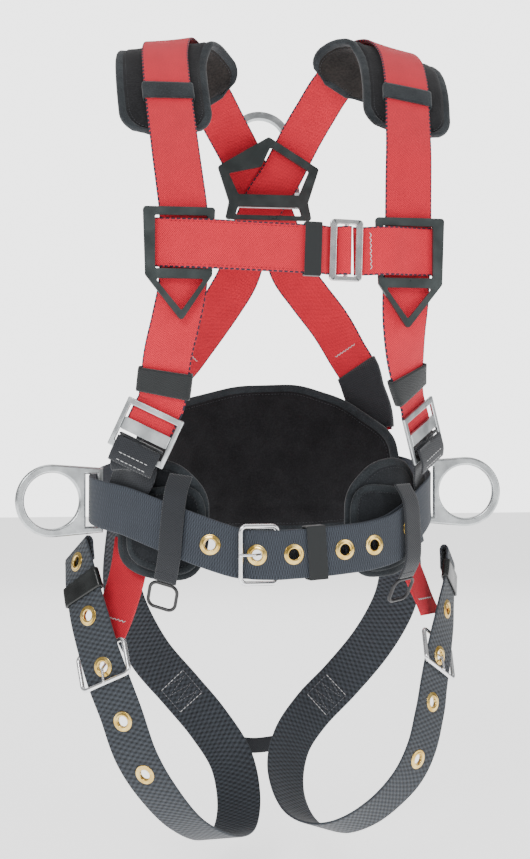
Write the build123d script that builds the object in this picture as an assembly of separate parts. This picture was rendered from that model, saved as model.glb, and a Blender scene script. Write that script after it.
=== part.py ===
from build123d import *
import os

# Full-body safety harness, held up as if worn. Millimetres, +Z up, front faces -Y.
# Origin: middle of the wearer's waist at belt height. Left and right are the wearer's,
# so the right side is at -X. Webbing is flat polyester, pads are simple closed solids.

# Driving dimensions
WEB_WIDTH = 45.0
WEB_THICK = 2.2
BELT_WIDTH = 45.0
BAND_WALL = 1.4
BAND_GAP = 0.9
SAMPLES = 4  # straight facets between two rows of a route
RING_HOLE = 26.5
RING_RIM = 8.0
RING_THICK = 7.0
RING_EDGE = 2.0
SLOT_LENGTH = 50.0
SLOT_GAP = 11.0
SLOT_BAR = 6.0
WIRE = 2.2
PRONG = 1.3
PRONG_EYE_WALL = 1.0
# Out of the eye, under the strap, up through the eyelet and onto the toe bar.
PRONG_BENDS = ((-2.8, -0.6), (-15.0, -4.2), (-21.5, 3.0), (-35.0, 3.9))
PIN_CLEARANCE = 0.06
EYELET_OUTER = 9.5
EYELET_HOLE = 4.9
EYELET_THICK = 3.6
PUNCHED_HOLE = 7.0
PLATE_THICK = 4.0
PAD_THICK = 9.0
SHOULDER_PAD_WIDTH = 62.0
SHOULDER_PAD_DROP = 9.8
HIP_STRAP_WIDTH = 44.0
LEG_TAB_WIDTH = 40.0
BELT_TAB_WIDTH = 22.0
SUB_PELVIC_WIDTH = 16.0
PAD_BAND_LENGTH = 20.0
TORSO_KEEPER_LENGTH = 24.0
TORSO_KEEPER_GAP = 1.7
BACK_SLEEVE_LENGTH = 44.0
BACK_SLEEVE_FROM_END = 3.4  # rows back from the strap's end
LEG_KEEPER_LENGTH = 20.0
BELT_KEEPER_LENGTH = 18.0
CHEST_KEEPER_LENGTH = 16.0
ADJUSTER_SIZE = (57.0, 48.0, 3.2)
ADJUSTER_WINDOW = (47.5, 36.0, 5.0)
SLIDER_SIZE = (47.0, 12.0, 3.2)
CHEST_BUCKLE_SIZE = (31.0, 57.0)
CHEST_BUCKLE_WINDOW = (18.0, 48.0)
CHEST_BUCKLE_THICK = 3.5
CHEST_BAR_RADIUS = 2.0
CHEST_BAR_LENGTH = 47.6
WAIST_BUCKLE_WIDTH = 52.0
LEG_BUCKLE_WIDTH = 54.0
LEG_BUCKLE_LIFT = -0.45
TOOL_RING_SIZE = (24.0, 27.0)
TOOL_RING_CORNER = 7.0
PRONG_EYE_LENGTH = 6.0
PAD_CORNER = 9.0
PLATE_CORNER = 3.0
DORSAL_RING_BAR = 6.0
DORSAL_SLOT_HALF = 8.0
DORSAL_SLOT_LENGTH = 65.0
DORSAL_EYE_RADIUS = 25.0
DORSAL_EYE_RIM = 8.0
DORSAL_EYE_REACH = 67.0
BACK_PAD_CENTRE = (10.0, -30.0)
BACK_PAD_RADII = (141.0, 153.0)
HIP_PAD_RADII = (106.0, 115.0)
HIP_PANEL_RADII = (115.4, 118.4)
HIP_CENTRES = {"right": (-60.0, 15.0), "left": (50.0, 15.0)}

# Webbing routes. Each row is a point on the centre line and the way its face looks.
SHOULDER = {
    "right": [
        (-110, -112, 148, -0.20, -0.98, 0.05), (-103, -116, 180, -0.10, -1, 0.05),
        (-97, -117.4, 212, 0, -1, 0), (-96, -117.4, 244, 0, -1, 0),
        (-96, -116.8, 276, 0, -1, 0.05), (-98.5, -109, 307, 0, -0.95, 0.2),
        (-101, -95, 339, 0, -0.9, 0.4), (-103, -72, 380, 0, -0.85, 0.5),
        (-104, -45, 420, 0, -0.75, 0.65), (-102, -15, 452, 0, -0.45, 0.9),
        (-94, 15, 468, -0.05, 0.05, 1), (-80, 42, 464, -0.1, 0.45, 0.9),
        (-62, 66, 448, -0.1, 0.75, 0.65), (-42, 87, 427, -0.05, 0.88, 0.45),
        (-25, 104.5, 404, 0, 0.95, 0.3), (-9, 115.3, 380, 0, 1, 0.15),
        (6, 120.8, 352, 0, 1, 0), (22, 121.4, 329, 0, 1, 0),
        (33, 121.4, 305, 0, 1, 0), (41, 120.4, 280, 0, 1, 0),
        (49, 117, 251, 0.05, 1, 0), (68, 113, 224, 0.2, 0.98, 0),
        (90, 105, 193, 0.4, 0.92, 0), (106, 95, 162, 0.55, 0.84, 0),
        (116, 86, 142, 0.6, 0.8, 0), (122, 82, 120, 0.7, 0.7, 0),
        (129, 75.5, 98, 0.75, 0.66, 0), (131, 71, 76, 0.77, 0.64, 0),
    ],
    "left": [
        (117.5, -103.5, 139, 0.42, -0.9, 0.05),
        (113, -113.6, 173, 0.2, -0.97, 0.05), (113, -117.2, 205, 0, -1, 0),
        (115, -117.2, 248, 0, -1, 0), (116, -115.4, 285, 0, -1, 0.05),
        (119, -106, 320, 0, -0.95, 0.25), (122, -95, 350, 0.05, -0.9, 0.4),
        (128, -70, 392, 0.1, -0.85, 0.5), (133, -44, 427, 0.1, -0.75, 0.65),
        (135, -14, 456, 0.15, -0.45, 0.9), (129, 14, 471, 0.15, 0.05, 1),
        (115, 40, 472, 0.15, 0.4, 0.9), (99, 62, 460, 0.1, 0.75, 0.65),
        (84, 82, 441, 0.05, 0.88, 0.45), (71, 96, 418, 0, 0.95, 0.3),
        (60, 105, 398, 0, 1, 0.2), (50, 111, 378, 0, 1, 0.15),
        (37, 116.2, 352, 0, 1, 0), (22, 118.6, 329, 0, 1, 0),
        (11, 118.6, 305, 0, 1, 0), (2, 116.8, 280, 0, 1, 0),
        (-9, 113.6, 245, 0, 1, 0), (-25, 111, 217, -0.2, 0.98, 0),
        (-46, 104, 186, -0.4, 0.92, 0), (-65, 95, 160, -0.5, 0.87, 0),
        (-78, 92.5, 142, -0.6, 0.8, 0), (-90, 91, 120, -0.65, 0.76, 0),
        (-102, 84, 96, -0.7, 0.72, 0), (-108, 77.5, 74, -0.75, 0.66, 0),
    ],
}
CHEST_LONG = [
    (-128, -120.5, 250, 0, -1, 0), (-114, -120.9, 250, -0.05, -1, 0),
    (-97, -125.4, 249.4, -0.2, -1, 0), (-76, -129.6, 248.6, -0.1, -1, 0),
    (-55, -130.2, 247.9, 0, -1, 0), (-25, -130.0, 247.0, 0, -1, 0),
    (5, -129.8, 246.1, 0, -1, 0), (22, -129.6, 245.6, 0, -1, 0),
    (30.5, -129.2, 245.3, 0.1, -1, 0), (37, -125.4, 245.1, 0.4, -1, 0),
    (43, -124.4, 245.0, -0.1, -1, 0), (47.6, -129, 244.8, -1, -0.8, 0),
    (51.5, -133.4, 244.7, -0.3, -1, 0), (57, -133.8, 244.6, 0, -1, 0),
]
CHEST_SHORT = [
    (61, -124.6, 244.8, 0, -1, 0), (72, -125.6, 245.0, 0, -1, 0),
    (84, -130.4, 245.3, 0.1, -1, 0), (98, -130.6, 245.6, 0, -1, 0),
    (114, -124.8, 245.9, 0.25, -1, 0), (128, -120.9, 246.2, 0.1, -1, 0),
    (144, -120.5, 246.4, 0, -1, 0),
]
BELT = [
    (-12, -127.6, -34, 0, -1, 0), (18, -127.6, -33.5, 0, -1, 0),
    (48, -125.6, -30.5, 0.1, -1, 0), (75, -118, -28, 0.25, -0.96, 0),
    (101, -105, -22, 0.5, -0.87, 0), (128, -84, -8, 0.65, -0.76, 0),
    (147, -64, 6, 0.8, -0.6, 0), (158, -43, 15, 0.95, -0.3, 0),
    (160.5, -20, 19, 1, 0, 0), (158, 8, 24, 0.95, 0.25, 0),
    (148, 40, 30, 0.88, 0.48, 0), (125, 78, 34, 0.72, 0.7, 0),
    (88, 107, 36, 0.5, 0.87, 0), (50, 123, 37, 0.25, 0.97, 0),
    (10, 128, 37, 0, 1, 0), (-30, 123, 36, -0.25, 0.97, 0),
    (-68, 107, 35, -0.5, 0.87, 0), (-105, 78, 32, -0.72, 0.7, 0),
    (-135, 44, 28, -0.82, 0.57, 0), (-160, 8, 22, -0.93, 0.3, 0),
    (-174, -20, 16, -1, 0.1, 0), (-175.5, -42, 12.5, -1, -0.1, 0),
    (-166, -62, 9, -0.85, -0.52, 0), (-146, -82, 4, -0.66, -0.75, 0),
    (-116, -106, -8, -0.5, -0.87, 0), (-80, -122, -22, -0.25, -0.97, 0),
    (-60, -128, -29, -0.1, -1, 0), (-46, -129.6, -33, 0, -1, 0),
    (-38, -131, -33.5, 0, -1, 0), (-31, -134.6, -34, -0.2, -1, 0),
    (-22, -138.4, -34, -0.2, -1, 0), (-12, -140.6, -34, 0, -1, 0),
    (0, -139, -33.5, 0, -1, 0), (24, -135.4, -32.5, 0, -1, 0),
    (48, -133, -30.5, 0.1, -1, 0), (78, -124.4, -27.5, 0.25, -0.96, 0),
    (105, -112, -21, 0.5, -0.87, 0), (133, -90, -6.5, 0.65, -0.76, 0),
]
LEG = {
    "right": [
        (-189, -25, -37, -0.85, -0.50, 0), (-186, -42, -60, -0.75, -0.65, 0),
        (-180, -60, -90, -0.65, -0.75, 0), (-172, -73, -122, -0.6, -0.8, 0),
        (-163, -82, -150, -0.55, -0.83, 0), (-152, -89, -180, -0.5, -0.85, -0.1),
        (-138, -94, -220, -0.45, -0.85, -0.3), (-118, -95, -255, -0.4, -0.75, -0.5),
        (-90, -84, -288, -0.3, -0.6, -0.75), (-60, -60, -309, -0.1, -0.45, -0.9),
        (-36, -22, -314, 0.1, -0.1, -1), (-24, 16, -294, 0.3, 0.4, -0.85),
        (-28, 41, -258, 0.3, 0.85, -0.4), (-50, 55, -222, 0.2, 0.97, -0.2),
        (-78, 60, -188, 0, 1, -0.1), (-109, 58, -151, -0.1, 1, 0),
        (-131, 50, -110, -0.3, 0.95, 0), (-141, 42, -72, -0.55, 0.83, 0),
        (-143, 35, -38, -0.7, 0.7, 0), (-143, 27.5, -6, -0.8, 0.58, 0),
        (-143, 26, 14, -0.8, 0.58, 0),
    ],
    "left": [
        (189, -12, -50, 0.9, -0.4, 0.1), (183, -26, -78, 0.85, -0.5, 0),
        (174, -42, -106, 0.75, -0.65, 0), (163, -58, -140, 0.65, -0.75, 0),
        (155, -69, -166, 0.6, -0.8, 0), (148, -78, -194, 0.55, -0.82, -0.1),
        (137, -86, -226, 0.45, -0.85, -0.3), (118, -91, -257, 0.3, -0.8, -0.5),
        (86, -92, -284, 0.15, -0.7, -0.7), (52, -80, -300, 0, -0.5, -0.87),
        (27, -46, -296, -0.3, -0.2, -0.93), (20, -6, -270, -0.5, 0.3, -0.8),
        (32, 28, -240, -0.4, 0.8, -0.4), (58, 50, -212, -0.2, 0.97, -0.2),
        (92, 60, -182, 0, 1, -0.1), (124, 57, -144, 0.15, 1, 0),
        (145, 49, -104, 0.35, 0.93, 0), (151, 42, -70, 0.55, 0.83, 0),
        (150, 34, -38, 0.75, 0.66, 0), (147.5, 27, -8, 0.85, 0.53, 0),
    ],
}
RED_TAB = {
    "right": [
        (-136, -44, -24, -0.6, -0.8, 0), (-141, -48, -56, -0.6, -0.8, 0),
        (-152, -56, -90, -0.6, -0.8, 0), (-163, -63, -114, -0.6, -0.8, 0),
    ],
    "left": [
        (134, -30, -22, 0.75, -0.65, 0), (140, -34, -52, 0.75, -0.65, 0),
        (150, -38, -80, 0.75, -0.65, 0), (158, -46, -102, 0.72, -0.7, 0),
    ],
}
BELT_TAB = {
    "right": [
        (-97, -106, 38, -0.4, -0.92, 0), (-103, -114.4, 22, -0.4, -0.92, 0),
        (-107, -116.6, -8, -0.42, -0.9, 0), (-109, -114, -36, -0.42, -0.9, 0),
        (-112, -106, -60, -0.42, -0.9, 0),
    ],
    "left": [
        (115, -97, 28, 0.57, -0.82, 0), (121, -105, 12, 0.57, -0.82, 0),
        (123, -106.4, -12, 0.57, -0.82, 0), (123, -106.8, -42, 0.57, -0.82, 0),
        (118.5, -98, -60, 0.57, -0.82, 0),
    ],
}
# In the torso adjuster's plane: distance up the frame, distance out, face up, face out.
STRAP_IN_ADJUSTER = [(-4, -4.4, 0, 1), (8, -4.2, 0, 1), (21, -4.6, 0, 1), (34, -3.6, 0, 1)]
HIP_STRAP_LOOP = [
    (-30, -5.5, 0, 1), (-20.5, -5.0, 0, 1), (-11, -3.6, 0.5, 1), (-9.7, 0, 1, 0),
    (-11, 3.6, 0.5, -1), (-20.5, 4.8, 0, -1), (-28, 4.4, 0, -1), (-36, 1.6, 0, -1),
]
HIP_STRAP_TAIL = {
    "right": [
        (-148, -71.5, 14, -0.72, -0.7, 0), (-143, -76.5, 27, -0.66, -0.75, 0),
        (-138, -86.5, 40, -0.5, -0.87, 0),
    ],
    "left": [
        (147, -48, 20, 0.9, -0.43, 0), (145, -53, 31, 0.88, -0.48, 0),
        (143, -62, 43, 0.8, -0.6, 0),
    ],
}
BELT_EYELET_PLACES = (25.3, 29.0, 32.1, 34.1, 35.1, 36.5)
LEG_EYELET_PLACES = {"right": (0.5, 2.15, 3.66, 5.25, 6.5), "left": (1.75, 3.05, 4.65, 6.3)}
LEG_KEEPER_PLACES = {"right": 1.35, "left": 0.7}
TORSO_KEEPER_PLACES = {"right": 3.4, "left": 3.5}
BUCKLE_HALF = 17.0
LEG_BUCKLE_TILT = 16.5
LEG_BUCKLE_PLACES = {"right": 3.6, "left": 3.0}
TOOL_WIRE = 1.6
TOOL_RING_DROP = 14.2
SUB_PELVIC = [
    (-34, 66, -244, 0, 1, 0), (0, 68, -250, 0, 1, 0), (36, 66, -246, 0, 1, 0),
]
MIDDLE_X = -5.0
BACK_PAD_OUTLINE = [
    (-124, 20), (-124, 74), (-82, 104), (-10, 122), (55, 124), (100, 108), (140, 74),
    (146, 20), (112, -20), (60, -26), (-50, -26), (-104, -16),
]
# Distances outwards from the middle, so that one outline serves both hips.
HIP_PAD_OUTLINE = [
    (69, 20), (94, 46), (126, 50), (142, 30), (142, -44), (118, -56), (80, -56), (69, -30),
]
HIP_PANEL_OUTLINE = [
    (72, 14), (84, 26), (136, 20), (136, -40), (112, -50), (84, -52), (72, -30),
]
SHOULDER_PAD_SPAN = {"right": (10.8, 16.6), "left": (10.7, 16.4)}
PAD_BAND_PLACES = {"right": 11.5, "left": 11.35}
BELT_KEEPER_PLACE = 33.0
CHEST_KEEPER_PLACE = 6.95
BELT_KEEPER_SINK = 3.9
BELT_KEEPER_INSIDE = 10.6
SIDE_RING_PLANES = {
    "right": Plane(origin=(-175.5, -38, 12.5), x_dir=(-0.985, -0.17, 0), z_dir=(0.17, -0.985, 0)),
    "left": Plane(origin=(160.5, -26, 18), x_dir=(0.985, -0.17, 0), z_dir=(-0.17, -0.985, 0)),
}
WAIST_BUCKLE = Plane(origin=(-29, -134, -34), x_dir=(1, 0, 0), z_dir=(0, -1, 0))
CHEST_BUCKLE = Plane(origin=(53, -129.4, 245), x_dir=(1, 0, -0.03), z_dir=(0, -1, 0))
DORSAL_SLOT = Vector(22, 120, 329)
DORSAL_SLOT_TILT = 40.0
DORSAL_RING_TILT = 71.0


def curve_row(rows, place):
    """A row on the smooth curve through every row; place 2.5 is halfway from row 2 to 3."""
    last = len(rows) - 1
    first = min(int(place), last - 1)
    u = place - first
    picked = [rows[min(max(first + step, 0), last)] for step in (-1, 0, 1, 2)]
    return [
        0.5 * (2 * b + (c - a) * u + (2 * a - 5 * b + 4 * c - d) * u**2
               + (3 * b - a - 3 * c + d) * u**3)
        for a, b, c, d in zip(*picked)
    ]


def station(route, place):
    """The strap's own plane there: x along the strap, y across it, z out of its face."""
    step = 0.02
    last = len(route) - 1
    row = curve_row(route, place)
    ahead = Vector(*curve_row(route, min(place + step, last))[:3])
    behind = Vector(*curve_row(route, max(place - step, 0))[:3])
    along = (ahead - behind).normalized()
    face = Vector(*row[3:])
    face = (face - along * face.dot(along)).normalized()
    return Plane(origin=row[:3], x_dir=along, z_dir=face)


def layer(route, first, last, lift):
    """The rows of another layer lying on this route, moved out of its face by lift."""
    count = max(2, round((last - first) * 2))
    rows = []
    for i in range(count + 1):
        plane = station(route, first + (last - first) * i / count)
        rows.append((*(plane.origin + plane.z_dir * lift), *plane.z_dir))
    return rows


def corners(plane, width, thick):
    """The four corners of a strap's section in a plane."""
    return [
        plane.from_local_coords((0, width / 2 * across, thick / 2 * out))
        for across, out in ((1, 1), (-1, 1), (-1, -1), (1, -1))
    ]


def ribbon(route, width=WEB_WIDTH, thick=WEB_THICK):
    """Flat webbing with square edges, built of flat facets along a smooth route."""
    count = (len(route) - 1) * SAMPLES
    sections = [corners(station(route, i / SAMPLES), width, thick) for i in range(count + 1)]
    faces = [Face(Wire.make_polygon(end, close=True)) for end in (sections[0], sections[-1])]
    for near, far in zip(sections, sections[1:]):
        for k in range(4):
            a, b, c, d = near[k], near[(k + 1) % 4], far[(k + 1) % 4], far[k]
            faces.append(Face(Wire.make_polygon([a, b, c], close=True)))
            faces.append(Face(Wire.make_polygon([a, c, d], close=True)))
    return Solid(Shell(faces))


def band(plane, length, inside=2 * WEB_THICK, width=WEB_WIDTH):
    """A flat sleeve round a strap."""
    opening = (width + 2 * BAND_GAP, inside + 2 * BAND_GAP)
    outer = Box(length, opening[0] + 2 * BAND_WALL, opening[1] + 2 * BAND_WALL)
    return plane.location * (outer - Box(length + 2, *opening))


def fitted_band(route, place, length, gap=BAND_GAP):
    """A sleeve that follows its strap's own bend and twist."""
    step = 0.1
    ahead = Vector(*curve_row(route, place + step)[:3])
    behind = Vector(*curve_row(route, place - step)[:3])
    half = length / 2 * 2 * step / (ahead - behind).length
    opening = (WEB_WIDTH + 2 * gap, WEB_THICK + 2 * gap)
    outer = layer(route, place - half, place + half, 0)
    inner = layer(route, place - 1.2 * half, place + 1.2 * half, 0)
    sleeve = ribbon(outer, opening[0] + 2 * BAND_WALL, opening[1] + 2 * BAND_WALL)
    return sleeve - ribbon(inner, *opening)


def punched(strap, planes):
    """The strap with a round hole for each eyelet."""
    for plane in planes:
        strap = strap - plane.location * Cylinder(PUNCHED_HOLE, 4 * EYELET_THICK)
    return strap


def eyelets(planes):
    """Crimped eyelets, one closed ring in each hole."""
    ring = Cylinder(EYELET_OUTER, EYELET_THICK) - Cylinder(EYELET_HOLE, 2 * EYELET_THICK)
    return Compound(children=[plane.location * ring for plane in planes])


def hull_face(*shapes):
    """The convex outline round some sketches."""
    return make_hull([edge for shape in shapes for edge in shape.edges()])


def d_ring():
    """A forged ring: round eye, flared neck and a belt slot. The slot's centre is at 0, 0."""
    base = SLOT_LENGTH + 2 * SLOT_BAR
    eye = SLOT_GAP / 2 + SLOT_BAR + RING_HOLE
    outline = hull_face(
        Pos(eye, 0) * Circle(RING_HOLE + RING_RIM),
        Rectangle(SLOT_GAP + 2 * SLOT_BAR, base),
    )
    flat = outline - Pos(eye, 0) * Circle(RING_HOLE) - Rectangle(SLOT_GAP, SLOT_LENGTH)
    ring = extrude(flat, RING_THICK / 2, both=True)
    rims = [e for e in ring.edges() if abs(abs(e.center().Z) - RING_THICK / 2) < 0.01]
    return fillet(rims, RING_EDGE)


def wire_loop(length, width, radius=WIRE, corner=5.0):
    """A closed rectangular wire with round corners, lying flat."""
    path = RectangleRounded(length, width, corner).wire()
    start = Plane(origin=path @ 0, z_dir=path % 0)
    return sweep(start * Circle(radius), path=path)


def prong():
    """A buckle's prong: an eye round the heel bar along y, then a bent rod towards -x."""
    bore = WIRE + PIN_CLEARANCE
    eye = Rot(90, 0, 0) * Cylinder(bore + PRONG_EYE_WALL, PRONG_EYE_LENGTH)
    bends = [Vector(x, 0, out) for x, out in PRONG_BENDS]
    rod = Pos(*bends[-1]) * Sphere(PRONG)
    for start, end in zip(bends, bends[1:]):
        circle = Face(Wire.make_circle(PRONG, Plane(origin=start, z_dir=end - start)))
        rod += Solid.extrude(circle, end - start)
        rod += Pos(*start) * Sphere(PRONG)
    return (eye + rod) - Rot(90, 0, 0) * Cylinder(bore, 2 * PRONG_EYE_LENGTH)


def curved_pad(centre, radii, outline):
    """Part of an upright tube wall, cut to an outline seen from the front or the back."""
    wall = Cylinder(radii[1], 400) - Cylinder(radii[0], 402)
    wall = Pos(centre[0], centre[1], 0) * wall
    side = 1 if radii == BACK_PAD_RADII else -1
    start = centre[1] + side * 20
    face = Plane(origin=(0, start, 0), x_dir=(-side, 0, 0), z_dir=(0, side, 0))
    flat = make_face(Polyline([(-side * x, z) for x, z in outline], close=True))
    flat = fillet(flat.vertices(), PAD_CORNER)
    return wall & extrude(face * flat, 200)


def outlined_plate(points, windows):
    """A flat plate with rounded windows, centred on z = 0."""
    def outline(corner_points, radius):
        flat = make_face(Polyline(corner_points, close=True))
        return fillet(flat.vertices(), radius)

    flat = outline(points, PLATE_CORNER)
    for window in windows:
        flat -= outline(window, PLATE_CORNER / 2)
    return extrude(flat, PLATE_THICK / 2, both=True)


def chest_frame(side, x, z):
    """One-piece plate: a window for the straps, a cross bar and a V-shaped lower end."""
    out = -1 if side == "right" else 1
    points = [(35 * out, 31), (-31 * out, 31), (-28 * out, -31), (0, -73), (33 * out, -31)]
    window = [(24 * out, 23.5), (-24 * out, 23.5), (-24 * out, -25), (24 * out, -25)]
    lower = [(24 * out, -34), (-21 * out, -34), (0, -63)]
    plate = outlined_plate(points, [window, lower])
    return Plane(origin=(x, -124, z), x_dir=(1, 0, 0), z_dir=(0, -1, 0)).location * plate


def dorsal_plate():
    """Locating plate: bars in front of the crossed straps, with a broad flap on one side."""
    points = [
        (0, 70), (55, 37), (43, 0), (47, -19), (35, -19), (-35, -19),
        (-47, -19), (-43, 0), (-55, 37),
    ]
    window = [(2, 59), (44, 34), (33, 8), (-33, 8), (-43, 30), (-8, 38)]
    slot = [(33, -5), (-33, -5), (-36, -14), (36, -14)]
    plate = outlined_plate(points, [window, slot])
    place = Plane(origin=(22, 103.4, 323), x_dir=(1, 0, 0), z_dir=(0, -1, 0))
    return place.location * plate


def tilted_plane(origin, degrees):
    """Local x leans back from +Y towards +Z by the angle, local y lies along X."""
    lean = Vector(0, 1, 0).rotate(Axis.X, degrees)
    return Plane(origin=origin, x_dir=lean, z_dir=lean.cross(Vector(1, 0, 0)))


def dorsal_ring():
    """A long D-ring: its belt slot leans gently and its loop stands more upright."""
    bar = DORSAL_RING_BAR
    outer = DORSAL_SLOT_LENGTH + 2 * bar
    depth = 2 * (DORSAL_SLOT_HALF + bar)
    foot = Rectangle(depth, outer) - Rectangle(2 * DORSAL_SLOT_HALF, DORSAL_SLOT_LENGTH)
    slot_plane = tilted_plane(DORSAL_SLOT, DORSAL_SLOT_TILT)
    foot = slot_plane * foot
    bend = slot_plane.from_local_coords((DORSAL_SLOT_HALF + bar / 2, 0, 0))
    eye = Pos(DORSAL_EYE_REACH, 0)
    loop = hull_face(eye * Circle(DORSAL_EYE_RADIUS + DORSAL_EYE_RIM), Rectangle(bar, outer))
    neck = Pos(bar, 0) * Rectangle(2, DORSAL_SLOT_LENGTH - 4)
    loop -= hull_face(eye * Circle(DORSAL_EYE_RADIUS), neck)
    loop = tilted_plane(bend, DORSAL_RING_TILT) * loop
    return extrude(foot, bar / 2, both=True) + extrude(loop, bar / 2, both=True)


def adjuster_plane(side):
    """Right one faces forward, left one is turned to the side."""
    if side == "right":
        return Plane(origin=(-129, -100, 77), x_dir=(0.9, -0.1, -0.42), z_dir=(-0.28, -0.95, 0))
    return Plane(origin=(139, -84, 79), x_dir=(0.72, 0.55, 0.42), z_dir=(0.68, -0.73, 0))


def adjuster_frame(plane):
    """Pressed frame: top bar, two legs and a round bottom bar that holds the hip strap."""
    return plane.location * (Box(*ADJUSTER_SIZE) - Box(*ADJUSTER_WINDOW))


def adjuster_slider(plane):
    """The broad sliding bar that grips the shoulder strap."""
    return plane.location * Box(*SLIDER_SIZE)


def tool_ring(plane):
    """A small wire ring whose top bar lies just under a belt tab's hem."""
    loop = wire_loop(*TOOL_RING_SIZE, TOOL_WIRE, TOOL_RING_CORNER)
    return plane.location * (Pos(TOOL_RING_DROP, 0, 0) * loop)


def leg_buckle_plane(side):
    """Tilted on the leg strap: heel bar at +x behind the strap, toe bar at -x before it."""
    place = station(LEG[side], LEG_BUCKLE_PLACES[side])
    turned = place.location * Location((0, 0, LEG_BUCKLE_LIFT), (0, -LEG_BUCKLE_TILT, 180))
    return Plane(turned)


def local_route(plane, rows):
    """Rows of (along, out, face along, face out) in a plane, made into world rows."""
    world = []
    for along, out, face_along, face_out in rows:
        point = plane.origin + plane.y_dir * along + plane.z_dir * out
        face = plane.y_dir * face_along + plane.z_dir * face_out
        world.append((*point, *face))
    return world


def hip_strap(side, plane):
    """From behind the belt, round the frame's bottom bar and back down in front."""
    return ribbon(HIP_STRAP_TAIL[side] + local_route(plane, HIP_STRAP_LOOP), HIP_STRAP_WIDTH)


def shoulder_route(side):
    """The whole strap: behind the torso adjuster, up and over to the back pad."""
    return local_route(adjuster_plane(side), STRAP_IN_ADJUSTER) + SHOULDER[side]


def upper_parts():
    parts = {}
    for side in SHOULDER:
        route = shoulder_route(side)
        parts[f"shoulder_strap_{side}"] = ribbon(route)
        pad_rows = layer(route, *SHOULDER_PAD_SPAN[side], -SHOULDER_PAD_DROP)
        parts[f"shoulder_pad_{side}"] = ribbon(pad_rows, SHOULDER_PAD_WIDTH, PAD_THICK)
        parts[f"shoulder_pad_band_{side}"] = fitted_band(
            route, PAD_BAND_PLACES[side], PAD_BAND_LENGTH
        )
        parts[f"torso_keeper_{side}"] = fitted_band(
            route, TORSO_KEEPER_PLACES[side], TORSO_KEEPER_LENGTH, TORSO_KEEPER_GAP
        )
        parts[f"back_sleeve_{side}"] = fitted_band(
            route, len(route) - BACK_SLEEVE_FROM_END, BACK_SLEEVE_LENGTH
        )
        plane = adjuster_plane(side)
        parts[f"torso_adjuster_{side}"] = adjuster_frame(plane)
        parts[f"torso_adjuster_bar_{side}"] = adjuster_slider(plane)
        parts[f"hip_strap_{side}"] = hip_strap(side, plane)
    parts["dorsal_plate"] = dorsal_plate()
    parts["dorsal_d_ring"] = dorsal_ring()
    return parts


def chest_parts():
    frame = RectangleRounded(*CHEST_BUCKLE_SIZE, 4) - RectangleRounded(*CHEST_BUCKLE_WINDOW, 2)
    bar = Rot(90, 0, 0) * Cylinder(CHEST_BAR_RADIUS, CHEST_BAR_LENGTH)
    keeper = station(CHEST_LONG, CHEST_KEEPER_PLACE)
    return {
        "chest_strap_long": ribbon(CHEST_LONG),
        "chest_strap_short": ribbon(CHEST_SHORT),
        "chest_keeper": band(keeper, CHEST_KEEPER_LENGTH),
        "chest_buckle": CHEST_BUCKLE.location * extrude(frame, CHEST_BUCKLE_THICK / 2, both=True),
        "chest_buckle_bar": CHEST_BUCKLE.location * bar,
        "chest_frame_right": chest_frame("right", -99, 251),
        "chest_frame_left": chest_frame("left", 113, 246),
    }


def waist_parts():
    holes = [station(BELT, place) for place in BELT_EYELET_PLACES]
    heel = WAIST_BUCKLE.location * Location((BUCKLE_HALF, 0, 0))
    keeper = station(BELT, BELT_KEEPER_PLACE)
    keeper.origin = keeper.origin - keeper.z_dir * BELT_KEEPER_SINK
    parts = {
        "back_pad": curved_pad(BACK_PAD_CENTRE, BACK_PAD_RADII, BACK_PAD_OUTLINE),
        "waist_belt": punched(ribbon(BELT, BELT_WIDTH), holes),
        "belt_eyelets": eyelets(holes),
        "waist_buckle": WAIST_BUCKLE.location * wire_loop(2 * BUCKLE_HALF, WAIST_BUCKLE_WIDTH),
        "waist_buckle_prong": heel * prong(),
        "belt_keeper": band(keeper, BELT_KEEPER_LENGTH, BELT_KEEPER_INSIDE),
    }
    for side, centre in HIP_CENTRES.items():
        out = -1 if side == "right" else 1
        for node, radii, outline in (
            ("hip_pad", HIP_PAD_RADII, HIP_PAD_OUTLINE),
            ("hip_panel", HIP_PANEL_RADII, HIP_PANEL_OUTLINE),
        ):
            points = [(MIDDLE_X + out * x, z) for x, z in outline]
            parts[f"{node}_{side}"] = curved_pad(centre, radii, points)
        parts[f"belt_tab_{side}"] = ribbon(BELT_TAB[side], BELT_TAB_WIDTH)
        parts[f"tool_ring_{side}"] = tool_ring(station(BELT_TAB[side], len(BELT_TAB[side]) - 1))
        parts[f"side_d_ring_{side}"] = SIDE_RING_PLANES[side].location * d_ring()
    return parts


def leg_parts():
    parts = {"sub_pelvic_strap": ribbon(SUB_PELVIC, SUB_PELVIC_WIDTH)}
    for side, route in LEG.items():
        holes = [station(route, place) for place in LEG_EYELET_PLACES[side]]
        buckle = leg_buckle_plane(side).location
        parts[f"leg_strap_{side}"] = punched(ribbon(route), holes)
        parts[f"leg_eyelets_{side}"] = eyelets(holes)
        parts[f"leg_keeper_{side}"] = fitted_band(
            route, LEG_KEEPER_PLACES[side], LEG_KEEPER_LENGTH
        )
        parts[f"leg_tab_{side}"] = ribbon(RED_TAB[side], LEG_TAB_WIDTH)
        parts[f"leg_buckle_{side}"] = buckle * wire_loop(2 * BUCKLE_HALF, LEG_BUCKLE_WIDTH)
        parts[f"leg_buckle_prong_{side}"] = buckle * Location((BUCKLE_HALF, 0, 0)) * prong()
    return parts


def main():
    os.makedirs("parts", exist_ok=True)
    for group in (upper_parts, chest_parts, waist_parts, leg_parts):
        for name, shape in group().items():
            export_step(shape, f"parts/{name}.step")


main()
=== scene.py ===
import math

import bpy
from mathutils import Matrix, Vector, noise


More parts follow.
